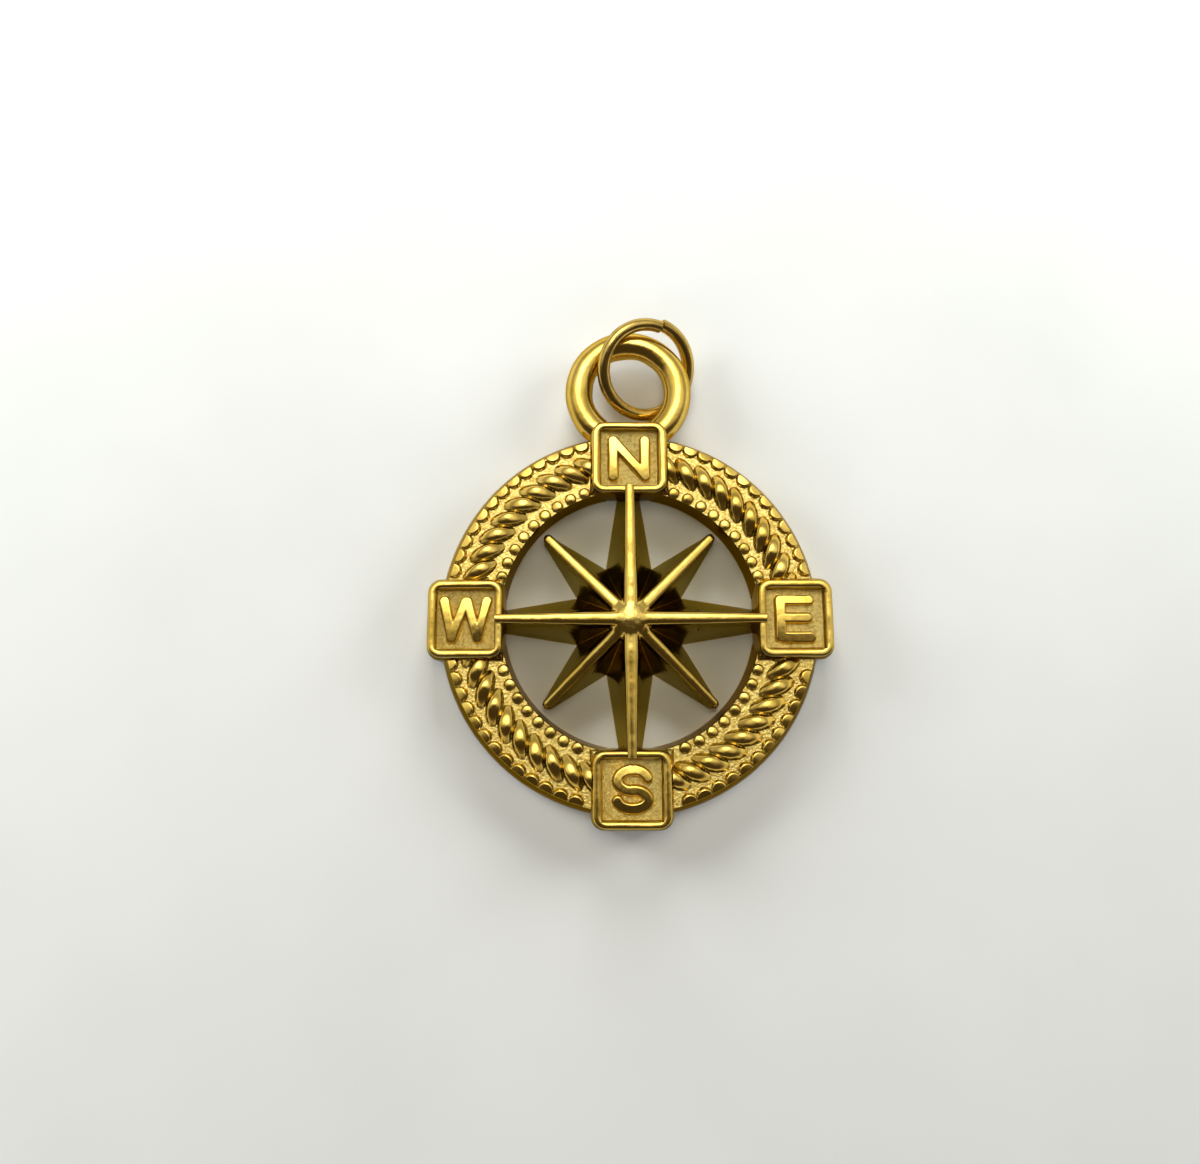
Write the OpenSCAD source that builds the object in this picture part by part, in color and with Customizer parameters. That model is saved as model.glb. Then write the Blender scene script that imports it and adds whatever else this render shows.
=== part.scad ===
// Compass pendant: a cast ring with rope and bead borders, four letter plates, an eight-point
// compass rose and a round bail, with a split jump ring through the bail.
// The piece lies on its flat back. +Z is up, +Y points to the N plate, +X to the E plate.
// Lengths are in millimetres.

/* [Ring band] */
// Widest diameter of the ring band, low on its outer wall
ring_diameter = 28.6; // [27.6:0.2:30]
// Diameter of the opening at the band's matte top face
ring_opening = 19.4; // [18.8:0.2:20]
// Height of the band's matte top face above the back
ring_height = 2.5; // [2.1:0.1:3]
// Inward slope of the outer wall, from its widest line to the top face
ring_outer_slope = 0.45; // [0.2:0.05:0.6]
// Inward slope of the opening's wall, from the top face to the back
ring_inner_slope = 0.3; // [0.1:0.05:0.4]
// Height of the widest line above the back
ring_wide_height = 1.2; // [0.8:0.1:1.6]
// Chamfer round the outer edge of the back
back_chamfer = 0.3; // [0.1:0.05:0.5]

/* [Bead borders] */
// Diameter of the small beads along the opening
inner_bead_diameter = 0.82; // [0.6:0.02:0.9]
// Distance from the opening's edge to the small beads' centres
inner_bead_inset = 0.38; // [0.3:0.02:0.5]
// Angle between two small beads
inner_bead_pitch = 6.5; // [6.3:0.1:7]
// Diameter of the scallop beads along the outer rim
outer_bead_diameter = 1.14; // [1:0.02:1.14]
// Distance from the widest line to the scallop beads' centres
outer_bead_inset = 0.65; // [0.6:0.05:0.9]
// Angle between two scallop beads
outer_bead_pitch = 4.92; // [4.7:0.02:5]

/* [Rope border] */
// Strands of the rope in a whole turn
rope_strands = 50; // [48:1:52]
// Diameter of the circle the strands are centred on
rope_circle = 23.7; // [23.4:0.1:24]
// Length of one strand
strand_length = 2.76; // [2.4:0.04:2.8]
// Width of one strand
strand_width = 1; // [0.8:0.02:1.04]
// Angle between a strand and the ring's run
strand_lay = 44; // [40:1:50]

/* [Letter plates] */
// Distance from the centre to the middle of each plate
plate_distance = 12.2; // [11.9:0.05:12.4]
// Width of a plate across the ring's run
plate_width = 5.96; // [5.7:0.02:6.2]
// Depth of a plate from its inward to its outward edge
plate_depth = 5.66; // [5.5:0.02:5.9]
// Flat shoulder between a plate's side edge and its frame
plate_shoulder = 0.14; // [0.06:0.02:0.3]
// Height of a plate's block under the raised frame
plate_height = 2.95; // [2.8:0.05:3.2]
// Thickness of the raised round frame on each plate
frame_thickness = 0.7; // [0.6:0.02:0.72]
// Radius of the frame's corners at the middle of the frame
frame_corner = 0.38; // [0.38:0.02:0.6]
// Depth of the recess below the block's top
recess_depth = 0.35; // [0.2:0.05:0.5]
// Height of the letters above the recess floor
letter_height = 0.4; // [0.2:0.05:0.6]
// Tallness of the letters
letter_size = 3.46; // [3:0.02:3.6]
// Width of the letters' strokes
letter_stroke = 0.78; // [0.6:0.02:0.84]

/* [Compass rose] */
// Distance from the centre to the bottom of each notch between two arms
notch_distance = 4.38; // [4:0.05:4.8]
// Angle between a main arm and its notches
notch_angle = 23.8; // [22:0.2:25]
// Width of a main arm's foot where it meets the ring
main_foot_width = 1.6; // [1.2:0.1:2]
// Height of the main ridges' middle line above the back
ridge_height = 3.36; // [3.2:0.02:3.6]
// Thickness of a main ridge at the centre
main_ridge_root = 1.08; // [0.9:0.02:1.2]
// Thickness of a main ridge at its end on the plate
main_ridge_end = 0.66; // [0.5:0.02:0.76]
// Distance from the centre to the tip of each diagonal arm
diagonal_reach = 9.08; // [8.6:0.02:9.1]
// Width of a diagonal arm's rounded foot at its tip
diagonal_foot_width = 1; // [0.8:0.05:1.2]
// Height of the diagonal ridges' middle line at the tip
diagonal_tip_height = 1.5; // [1.2:0.05:2.2]
// Thickness of a diagonal ridge at the centre
diagonal_ridge_root = 0.86; // [0.7:0.02:0.9]
// Thickness of a diagonal ridge at its tip
diagonal_ridge_end = 0.56; // [0.46:0.02:0.6]
// Diameter of the round hub where the ridges meet
hub_diameter = 1.7; // [1.5:0.05:1.9]
// Height of the hub's middle above the back
hub_height = 3.08; // [2.95:0.01:3.2]

/* [Bail] */
// Outer diameter of the bail loop
bail_diameter = 9.86; // [9.7:0.02:10.1]
// Thickness of the bail's round bar
bail_thickness = 2.06; // [1.9:0.02:2.08]
// Distance from the band's widest line out to the bail's centre
bail_offset = 3.23; // [3.1:0.01:3.3]
// Height of the bar's middle above the back
bail_height = 2.15; // [2.13:0.01:2.17]

/* [Jump ring] */
// Wire thickness of the jump ring
jump_wire = 1; // [0.9:0.02:1.02]
// Outer diameter of the jump ring
jump_diameter = 8.1; // [8:0.02:8.2]
// Slope of the jump ring against the table
jump_tilt = 27.8; // [27.6:0.1:28.6]
// Direction the jump ring rises towards, turned from +X to +Y
jump_heading = 136.2; // [132:0.2:140]
// Sideways distance from the bail's centre to the jump ring's centre
jump_shift_x = 1.42; // [1.3:0.02:1.5]
// Distance along +Y from the bail's centre to the jump ring's centre
jump_shift_y = 1.91; // [1.85:0.01:1.95]
// Width of the saw cut through the jump ring
jump_cut = 0.12; // [0.08:0.02:0.2]

/* [Hidden] */
$fn = 32;
ring_r = ring_diameter / 2;
top_r = ring_r - ring_outer_slope;
open_r = ring_opening / 2;
wall_run = ring_outer_slope / (ring_height - ring_wide_height);
rope_r = rope_circle / 2;
frame_r = frame_thickness / 2;
// Flat lip left on the block inside and outside the frame
frame_lip = 0.02;
frame_x = plate_width / 2 - plate_shoulder - frame_r;
frame_y = plate_depth / 2 - frame_lip - frame_r;
recess_w = frame_x - frame_r - frame_lip;
recess_d = frame_y - frame_r - frame_lip;
floor_height = plate_height - recess_depth;
ridge_end = plate_distance - recess_d - main_ridge_end / 2;
foot_end = open_r + 0.3;
diagonal_end = diagonal_reach - diagonal_foot_width / 2;
hub_r = hub_diameter / 2;
bail_distance = ring_r + bail_offset;
bail_r = (bail_diameter - bail_thickness) / 2;
jump_r = (jump_diameter - jump_wire) / 2;
jump_height = jump_wire / 2 + jump_r * sin(jump_tilt);
// First bead, and number of beads, of each quarter counted clockwise from the N plate
inner_start = [19.6, 111.9, 203, 288.2];
inner_count = [9, 8, 8, 9];
outer_start = [15.3, 108.3, 197.2, 285.6];
outer_count = [13, 12, 13, 13];
gold = [0.86, 0.66, 0.24];

// Ring band with a sloping outer wall and a slightly sloping opening
module band() {
    rotate_extrude($fn = 96)
        polygon([
            [open_r - ring_inner_slope, 0],
            [ring_r - back_chamfer, 0],
            [ring_r, back_chamfer],
            [ring_r, ring_wide_height],
            [top_r, ring_height],
            [open_r, ring_height]
        ]);
}

// Row of small round beads along the opening
module inner_beads() {
    for (q = [0:3])
        for (i = [0:inner_count[q] - 1])
            rotate(-inner_start[q] - i * inner_bead_pitch)
                translate([0, open_r + inner_bead_inset, ring_height])
                    sphere(d = inner_bead_diameter, $fn = 16);
}

// One rim bead, its outer part cut flush with the sloping outer wall
module rim_bead() {
    run = wall_run * (ring_height - ring_wide_height);
    difference() {
        translate([0, ring_r - outer_bead_inset, ring_height])
            sphere(d = outer_bead_diameter, $fn = 16);
        translate([0, ring_r - run - 0.03, ring_height])
            rotate([atan(wall_run), 0, 0])
                translate([-1, 0, -2])
                    cube([2, 2, 4]);
    }
}

// Row of beads along the rim
module outer_beads() {
    for (q = [0:3])
        for (i = [0:outer_count[q] - 1])
            rotate(-outer_start[q] - i * outer_bead_pitch)
                rim_bead();
}

// One strand: a slim faceted spindle along Y, its underside sunk into the band
module strand() {
    w = strand_width / 2;
    l = strand_length / 2;
    rows = [[-0.62, 0.78], [0, 1], [0.62, 0.78]];
    turns = [-30, 30, 90, 150, 210];
    points = concat(
        [[0, -l, -0.1]],
        [for (r = rows) for (t = turns) [w * r[1] * cos(t), l * r[0], w * r[1] * sin(t)]],
        [[0, l, -0.1]]
    );
    n = len(turns);
    last = n * len(rows) + 1;
    faces = concat(
        [for (j = [0:n - 1]) [0, 1 + (j + 1) % n, 1 + j]],
        [for (i = [0:len(rows) - 2], j = [0:n - 1])
            let (a = 1 + i * n + j, b = 1 + i * n + (j + 1) % n)
            each [[a, b + n, a + n], [a, b, b + n]]],
        [for (j = [0:n - 1]) [last, last - n + j, last - n + (j + 1) % n]]
    );
    polyhedron(points = points, faces = faces);
}

// Rope of slanting strands between the letter plates
module rope() {
    step = 360 / rope_strands;
    for (i = [0:rope_strands - 1]) {
        off = abs((i * step + 45) % 90 - 45);
        if (off > 10)
            rotate(-i * step)
                translate([0, rope_r, ring_height])
                    rotate(90 - strand_lay)
                        strand();
    }
}

// Outline of a plate's block: square inward corners, rounded outward corners
module plate_outline() {
    r = frame_corner + frame_r;
    w = plate_width / 2;
    d = plate_depth / 2;
    union() {
        translate([-w, -d])
            square([2 * w, 2 * d - r]);
        translate([r - w, -d])
            square([2 * w - 2 * r, 2 * d]);
        for (s = [-1, 1])
            translate([s * (w - r), d - r])
                circle(r = r);
    }
}

// Quarter bend of the raised frame
module frame_bend() {
    rotate_extrude(angle = 90)
        translate([frame_corner, 0])
            circle(r = frame_r, $fn = 16);
}

// Raised round frame on a plate
module plate_frame() {
    x = frame_x;
    y = frame_y;
    c = frame_corner;
    for (s = [-1, 1]) {
        translate([s * x, c - y, 0])
            rotate([-90, 0, 0])
                cylinder(r = frame_r, h = 2 * y - 2 * c, $fn = 16);
        translate([c - x, s * y, 0])
            rotate([0, 90, 0])
                cylinder(r = frame_r, h = 2 * x - 2 * c, $fn = 16);
    }
    translate([x - c, y - c, 0])
        frame_bend();
    translate([c - x, y - c, 0])
        rotate(90)
            frame_bend();
    translate([c - x, c - y, 0])
        rotate(180)
            frame_bend();
    translate([x - c, c - y, 0])
        rotate(270)
            frame_bend();
}

// One plate's block and frame, its outward edge towards +Y
module plate() {
    linear_extrude(plate_height)
        plate_outline();
    translate([0, 0, plate_height])
        plate_frame();
}

// Places a child at each of the four plates
module at_plates() {
    for (a = [0, 90, 180, 270])
        rotate(a)
            translate([0, plate_distance, 0])
                children();
}

// Pocket that leaves the recess floor
module recess() {
    translate([-recess_w, -recess_d, floor_height])
        cube([2 * recess_w, 2 * recess_d, 3]);
}

// Letter outlines, each centred on its plate
module letter_n() {
    w = letter_size * 0.445;
    h = letter_size / 2;
    s = letter_stroke;
    polygon([
        [-w, -h], [s - w, -h], [s - w, h * 0.3], [w - s * 0.98, -h],
        [w, -h], [w, h], [w - s, h], [w - s, -h * 0.3],
        [s * 0.98 - w, h], [-w, h]
    ]);
}

module letter_e() {
    w = letter_size * 0.405;
    h = letter_size / 2;
    s = letter_stroke;
    translate([-w, -h])
        square([s, 2 * h]);
    for (y = [-h, -s / 2, h - s])
        translate([-w, y])
            square([2 * w - (y == -s / 2 ? 0.2 : 0), s]);
}

module letter_w() {
    w = letter_size * 0.565;
    h = letter_size / 2;
    s = letter_stroke;
    polygon([
        [-w, h], [-w * 0.66, -h], [-w * 0.3, -h], [0, h * 0.28],
        [w * 0.3, -h], [w * 0.66, -h], [w, h], [w - s, h],
        [w * 0.44, -h * 0.24], [s * 0.4, h], [-s * 0.4, h],
        [-w * 0.44, -h * 0.24], [s - w, h]
    ]);
}

module letter_s() {
    s = letter_stroke / 2;
    b = letter_size / 4 - s / 2;
    a = letter_size * 0.45 - s;
    up = [for (t = [10:13:270]) [a * cos(t), b + b * sin(t), cos(t) / a, sin(t) / b]];
    half = [for (p = up)
        let (n = norm([p[2], p[3]])) [p[0], p[1], p[2] / n, p[3] / n]];
    k = len(half) - 1;
    outer = [for (p = half) [p[0] + s * p[2], p[1] + s * p[3]]];
    inner = [for (p = half) [p[0] - s * p[2], p[1] - s * p[3]]];
    polygon(concat(
        outer,
        [for (i = [k:-1:0]) -inner[i]],
        [for (p = outer) -p],
        [for (i = [k:-1:0]) inner[i]]
    ));
}

// The four raised letters, all upright with N at the top
module letters() {
    d = plate_distance;
    translate([0, 0, floor_height - 0.1])
        linear_extrude(letter_height + 0.1) {
            translate([0, d])
                letter_n();
            translate([d, 0])
                letter_e();
            translate([0, -d])
                letter_s();
            translate([-d, 0])
                letter_w();
        }
}

// Half width of an arm's foot at a distance, on the line from its notch to its outer end
function foot_at(nx, ny, tip, reach, y) = nx + (tip - nx) * (y - ny) / (reach - ny);

// Point at a distance along an arm and to its side
function beside(a, y, x, z) = [y * sin(a) + x * cos(a), y * cos(a) - x * sin(a), z];

// Steep flanks of all eight arms as one solid, with a valley down to each notch
module flanks() {
    main_foot = foot_at(notch_distance * sin(notch_angle), notch_distance * cos(notch_angle),
        main_foot_width / 2, open_r, foot_end);
    main_top = main_ridge_end * 0.42;
    low_top = diagonal_ridge_end * 0.46;
    low_foot = diagonal_foot_width / 2;
    tops = [for (i = [0:7])
        each i % 2 == 0
            ? [for (s = [-1, 1]) beside(i * 45, foot_end, s * main_top, ridge_height)]
            : [for (t = [-90:45:90]) beside(i * 45, diagonal_end + low_top * cos(t),
                low_top * sin(t), diagonal_tip_height)]];
    feet = [for (i = [0:7])
        each i % 2 == 0
            ? [for (s = [-1, 1]) beside(i * 45, foot_end, s * main_foot, 0)]
            : [for (t = [-90:45:90]) beside(i * 45, diagonal_end + low_foot * cos(t),
                low_foot * sin(t), 0)]];
    notches = [for (i = [0:7])
        beside(i * 45 + (i % 2 == 0 ? notch_angle : 45 - notch_angle), notch_distance, 0, 0)];
    faces = [for (i = [0:7])
        let (m = i % 2 == 0 ? 2 : 5, t = 2 + floor(i / 2) * 7 + (i % 2) * 2, f = t + 28)
        let (after = 58 + i, before = 58 + (i + 7) % 8)
        each concat(
            [[0, before, t], [t, before, f], [0, t + m - 1, after]],
            [[t + m - 1, f + m - 1, after], [1, f, before], [1, after, f + m - 1]],
            [for (j = [0:m - 2])
                each [[0, t + j, t + j + 1], [1, f + j + 1, f + j],
                    [t + j, f + j, f + j + 1], [t + j, f + j + 1, t + j + 1]]]
        )];
    polyhedron(
        points = concat([[0, 0, ridge_height], [0, 0, 0]], tops, feet, notches),
        faces = faces
    );
}

// Round ridge running out from the hub along +Y, its end rounded off
module ridge(root, end, reach, end_height) {
    drop = ridge_height - end_height;
    start = hub_r * 0.4;
    length = norm([drop, reach]);
    e = end / 2;
    translate([0, 0, ridge_height])
        rotate([-90 - atan(drop / reach), 0, 0])
            rotate_extrude()
                polygon([
                    [0, start], [root / 2, start], [e, length],
                    [e * 0.8, length + e * 0.6], [e * 0.4, length + e * 0.9], [0, length + e]
                ]);
}

// Eight-point compass rose
module rose() {
    flanks();
    for (a = [0, 90, 180, 270]) {
        rotate(a)
            ridge(main_ridge_root, main_ridge_end, ridge_end, ridge_height);
        rotate(a + 45)
            ridge(diagonal_ridge_root, diagonal_ridge_end, diagonal_end, diagonal_tip_height);
    }
    translate([0, 0, hub_height])
        sphere(r = hub_r);
}

// Thick round bail behind the N plate
module bail() {
    translate([0, bail_distance, bail_height])
        rotate_extrude($fn = 48)
            translate([bail_r, 0])
                circle(d = bail_thickness, $fn = 20);
}

// The whole casting
module cast_pendant() {
    color(gold)
        union() {
            difference() {
                union() {
                    band();
                    inner_beads();
                    outer_beads();
                    rope();
                    at_plates()
                        plate();
                    bail();
                }
                at_plates()
                    recess();
            }
            letters();
            rose();
        }
}

// Split jump ring lying through the bail, resting on the table at its low side
module jump_ring() {
    cut = jump_cut / jump_r * 180 / PI;
    color(gold)
        translate([jump_shift_x, bail_distance + jump_shift_y, jump_height])
            rotate(jump_heading)
                rotate([0, -jump_tilt, 0])
                    rotate(cut / 2 - 63)
                        rotate_extrude(angle = 360 - cut, $fn = 48)
                            translate([jump_r, 0])
                                circle(d = jump_wire, $fn = 16);
}

cast_pendant();
jump_ring();
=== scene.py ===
"""Compass pendant in gold plated cast steel, lying on a pale table.

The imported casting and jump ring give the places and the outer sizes. Each sub-assembly below is a
class with its own sizes in millimetres, which it turns into metres as it writes its mesh.
"""

import logging
import math
from contextlib import contextmanager
from dataclasses import dataclass
from enum import Enum
from typing import ClassVar, Iterator

import bpy
import numpy as np
from mathutils import Euler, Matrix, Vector


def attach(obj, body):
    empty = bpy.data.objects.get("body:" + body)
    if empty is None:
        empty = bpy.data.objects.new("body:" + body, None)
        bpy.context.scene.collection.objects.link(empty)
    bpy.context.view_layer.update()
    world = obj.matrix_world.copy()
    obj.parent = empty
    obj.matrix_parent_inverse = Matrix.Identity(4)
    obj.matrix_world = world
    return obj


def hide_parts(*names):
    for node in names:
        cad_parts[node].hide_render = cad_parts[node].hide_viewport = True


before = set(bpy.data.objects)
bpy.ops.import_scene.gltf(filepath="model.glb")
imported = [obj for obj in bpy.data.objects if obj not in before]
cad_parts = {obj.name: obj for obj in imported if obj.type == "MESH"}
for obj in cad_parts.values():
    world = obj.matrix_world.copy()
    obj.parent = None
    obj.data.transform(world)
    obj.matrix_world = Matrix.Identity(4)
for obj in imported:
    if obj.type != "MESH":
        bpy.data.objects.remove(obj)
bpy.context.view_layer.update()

MM = 0.001
BODY = "root"
CASTING = "cast_pendant"
WIRE = "jump_ring"

EIGHTH = 45.0
QUARTER = 90.0
TINY = 1e-6
MERGE = 0.004
WAVES = 6
WAVE_LENGTHS = (0.7, 1.7)
WAVE_SUM = 3.5
BANDS_SCALE = 0.314
NOISE_ROUGHNESS = 0.55

Points = np.ndarray
Piece = bpy.types.Object
Link = bpy.types.NodeSocket


class Compass(Enum):
    """The four letter plates, each with its bearing in degrees clockwise from the bail."""

    NORTH = 0
    EAST = 90
    SOUTH = 180
    WEST = 270


def smooth_step(low: float, high: float, value: Points) -> Points:
    """Eases from 0 to 1 as a value passes from low to high."""
    t = np.clip((value - low) / (high - low), 0.0, 1.0)
    return t * t * (3.0 - 2.0 * t)


def soft_min(a: Points, b: Points, blend: float) -> Points:
    """Lower of two heights, with the crease rounded where they are closer than blend."""
    h = np.clip(0.5 + 0.5 * (b - a) / blend, 0.0, 1.0)
    return b + (a - b) * h - blend * h * (1.0 - h)


def soft_max(a: Points, b: Points, blend: float) -> Points:
    """Upper of two heights, with the crease rounded alike."""
    return -soft_min(-a, -b, blend)


def dome(distance: Points, power: float = 2.0) -> Points:
    """Profile that is 1 in the middle and 0 from distance 1 on, flatter with a higher power."""
    return np.sqrt(np.clip(1.0 - np.clip(distance, 0.0, 1.0) ** power, 0.0, 1.0))


def turned(x: Points, y: Points, bearing: float) -> tuple[Points, Points]:
    """East and north of places that lie across and out along a bearing in degrees."""
    side, out = math.cos(math.radians(bearing)), math.sin(math.radians(bearing))
    return x * side + y * out, y * side - x * out


def inside_square(x: Points, y: Points, half: tuple[float, float], corner: Points | float) -> Points:
    """Distance inwards from a round-cornered square's outline, negative outside it."""
    p, q = np.abs(x) - (half[0] - corner), np.abs(y) - (half[1] - corner)
    return corner - (np.hypot(np.maximum(p, 0.0), np.maximum(q, 0.0)) + np.minimum(np.maximum(p, q), 0.0))


def ripple(x: Points, y: Points, size: float, seed: int) -> Points:
    """Slow hand-worked unevenness, a sum of a few seeded waves.

    Args:
        x: First coordinate.
        y: Second coordinate.
        size: Rough length of one wave.
        seed: Chooses the waves.

    Returns:
        Values between about -1 and 1.
    """
    waves = np.random.default_rng(seed)
    total = np.zeros(np.broadcast(x, y).shape)
    for _ in range(WAVES):
        heading = waves.uniform(0.0, math.tau)
        pitch = math.tau / (size * waves.uniform(*WAVE_LENGTHS))
        shift = waves.uniform(0.0, math.tau)
        total += np.sin((x * math.cos(heading) + y * math.sin(heading)) * pitch + shift)
    return total / WAVE_SUM


class Bench:
    """Modelling bench: the few operators that every sub-assembly uses."""

    @staticmethod
    def hold(*pieces: Piece) -> None:
        """Selects some pieces and nothing else, and makes the first one active.

        Args:
            pieces: Pieces to select, or none.
        """
        bpy.ops.object.select_all(action="DESELECT")
        for piece in pieces:
            piece.select_set(True)
            bpy.context.view_layer.objects.active = pieces[0]

    @staticmethod
    def take(name: str) -> Piece:
        """Names the active piece and returns it."""
        bpy.context.object.name = bpy.context.object.data.name = name
        return bpy.context.object

    @staticmethod
    @contextmanager
    def editing(piece: Piece, mode: str) -> Iterator[None]:
        """Opens a piece in edit mode and closes it again.

        Args:
            piece: Piece to edit.
            mode: What is selected: VERT, EDGE or FACE.

        Yields:
            Nothing.
        """
        Bench.hold(piece)
        bpy.ops.object.mode_set(mode="EDIT")
        bpy.ops.mesh.select_mode(type=mode)
        yield
        bpy.ops.object.mode_set(mode="OBJECT")

    @staticmethod
    def sheet(name: str, columns: int, rows: int) -> tuple[Piece, Points, Points]:
        """Adds a flat grid of faces to be shaped into a cast surface.

        Args:
            name: Name of the piece.
            columns: Faces along the first way.
            rows: Faces along the second way.

        Returns:
            The piece, and the places of its points along both ways, 0 to 1.
        """
        Bench.hold()
        bpy.ops.mesh.primitive_grid_add(x_subdivisions=columns, y_subdivisions=rows, size=1.0)
        piece = Bench.take(name)
        flat = Bench.points(piece) * MM
        u = np.round((flat[:, 0] + 0.5) * columns) / columns
        v = np.round((flat[:, 1] + 0.5) * rows) / rows
        return piece, u, v

    @staticmethod
    def circle(name: str, points: int, radius: float, filled: bool = False) -> Piece:
        """Adds a flat circle round the origin.

        Args:
            name: Name of the piece.
            points: Points on it.
            radius: Radius in millimetres.
            filled: True for a disc.

        Returns:
            The piece.
        """
        Bench.hold()
        fill = "NGON" if filled else "NOTHING"
        bpy.ops.mesh.primitive_circle_add(vertices=points, radius=radius * MM, fill_type=fill)
        return Bench.take(name)

    @staticmethod
    def spin(piece: Piece, steps: int, angle: float) -> None:
        """Sweeps a piece's section clockwise round the upright axis.

        Args:
            piece: Piece that is only its section.
            steps: Number of sections added.
            angle: Angle of the sweep in radians.
        """
        with Bench.editing(piece, "EDGE"):
            bpy.ops.mesh.select_all(action="SELECT")
            bpy.ops.mesh.spin(steps=steps, angle=angle, center=(0.0, 0.0, 0.0), axis=(0.0, 0.0, -1.0))

    @staticmethod
    def points(piece: Piece) -> Points:
        """Reads a piece's points in millimetres, one row a point."""
        return np.array([point.co for point in piece.data.vertices], dtype=float) / MM

    @staticmethod
    def shape(piece: Piece, *places: Points) -> None:
        """Moves a piece's points to their new coordinates, given in millimetres."""
        piece.data.vertices.foreach_set("co", (np.column_stack(places) * MM).ravel())
        piece.data.update()

    @staticmethod
    def mark(piece: Piece, **values: Points | float) -> None:
        """Stores values per point for the finish to read.

        Args:
            piece: Piece to mark.
            values: One value a point, or one for all, by name.
        """
        for name, value in values.items():
            layer = piece.data.attributes.new(name, "FLOAT", "POINT")
            layer.data.foreach_set("value", np.full(len(layer.data), value, dtype=np.float32))

    @staticmethod
    def select(piece: Piece, chosen: Points) -> None:
        """Selects points of a piece, and the edges and faces between them.

        Args:
            piece: Piece in object mode.
            chosen: True for each point to select.
        """
        mesh = piece.data
        mesh.vertices.foreach_set("select", chosen)
        ends = np.empty(len(mesh.edges) * 2, dtype=np.int64)
        mesh.edges.foreach_get("vertices", ends)
        mesh.edges.foreach_set("select", chosen[ends.reshape(-1, 2)].all(axis=1))
        mesh.polygons.foreach_set("select", [chosen[list(p.vertices)].all() for p in mesh.polygons])

    @staticmethod
    def close(piece: Piece, angle: float = 40.0, fill: bool = True) -> None:
        """Merges doubles, fills open ends, turns the faces outwards and shades the piece.

        Args:
            piece: Piece to close.
            angle: Sharpest smooth edge in degrees.
            fill: True where open ends are filled.
        """
        with Bench.editing(piece, "VERT"):
            bpy.ops.mesh.select_all(action="SELECT")
            bpy.ops.mesh.remove_doubles(threshold=MERGE * MM)
            if fill:
                bpy.ops.mesh.fill_holes(sides=0)
            bpy.ops.mesh.select_all(action="SELECT")
            bpy.ops.mesh.normals_make_consistent(inside=False)
        bpy.ops.object.shade_smooth_by_angle(angle=math.radians(angle))


class Value:
    """A shader value whose Python arithmetic adds the Math nodes."""

    def __init__(self, desk: "Desk", socket: Link) -> None:
        """Wraps an output socket of a desk that adds the nodes."""
        self.desk = desk
        self.socket = socket

    def work(self, operation: str, *values: "Value | float") -> "Value":
        """Adds one Math node of an operation and its inputs in order."""
        node = self.desk.node("Math", {"operation": operation}, dict(enumerate(values)))
        return Value(self.desk, node.outputs[0])

    def __add__(self, other: "Value | float") -> "Value":
        """Sum."""
        return self.work("ADD", self, other)

    __radd__ = __add__

    def __sub__(self, other: "Value | float") -> "Value":
        """Difference."""
        return self.work("SUBTRACT", self, other)

    def __rsub__(self, other: float) -> "Value":
        """Difference from a number."""
        return self.work("SUBTRACT", other, self)

    def __mul__(self, other: "Value | float") -> "Value":
        """Product."""
        return self.work("MULTIPLY", self, other)

    __rmul__ = __mul__

    def __abs__(self) -> "Value":
        """Size without its sign."""
        return self.work("ABSOLUTE", self)

    def ramp(self, low: float, high: float) -> "Value":
        """Eases from 0 to 1 as the value passes from low to high."""
        fed = {"Value": self, "From Min": low, "From Max": high}
        node = self.desk.node("MapRange", {"interpolation_type": "SMOOTHSTEP"}, fed)
        return Value(self.desk, node.outputs[0])


class Desk:
    """Adds the nodes of one material or of the surroundings."""

    def __init__(self, tree: bpy.types.NodeTree) -> None:
        """Starts on an emptied tree, with its texture coordinates at hand."""
        tree.nodes.clear()
        self.tree = tree
        self.places = self.node("TexCoord").outputs

    def node(self, kind: str, settings: dict | None = None, fed: dict | None = None) -> bpy.types.Node:
        """Adds any node.

        Args:
            kind: Its type, such as Math.
            settings: Properties that are set first.
            fed: Values or links for its sockets, by name or place.

        Returns:
            The node.
        """
        made = self.tree.nodes.new("ShaderNode" + kind)
        for name, value in (settings or {}).items():
            setattr(made, name, value)
        for place, value in (fed or {}).items():
            if isinstance(value, Value):
                value = value.socket
            if isinstance(value, bpy.types.NodeSocket):
                self.tree.links.new(value, made.inputs[place])
            else:
                made.inputs[place].default_value = value
        return made

    def noise(self, size: float, detail: float, where: Link | None = None) -> Value:
        """Noise of about 0.5 on the object, with features of a size in millimetres."""
        fed = {"Scale": 1.0 / (size * MM), "Detail": detail, "Roughness": NOISE_ROUGHNESS}
        node = self.node("TexNoise", {}, {"Vector": where or self.places["Object"], **fed})
        return Value(self, node.outputs["Fac"])

    def turn(self, angle: float, stretch: float = 1.0) -> Link:
        """Object coordinates turned by an angle in radians, with their second way scaled."""
        fed = {0: self.places["Object"], 2: (0.0, 0.0, angle), 3: (1.0, stretch, 1.0)}
        return self.node("Mapping", {}, fed).outputs[0]

    def attribute(self, name: str) -> Value:
        """Reads the value that a mesh stores per point under a name."""
        return Value(self, self.node("Attribute", {"attribute_name": name}).outputs["Fac"])

    def blend(self, share: Value, first: tuple | Link, second: tuple | Link) -> Link:
        """Mixes two colours, all of the first at share 0 and all of the second at 1."""
        fed = {"Factor": share, 6: first, 7: second}
        return self.node("Mix", {"data_type": "RGBA"}, fed).outputs[2]


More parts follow.
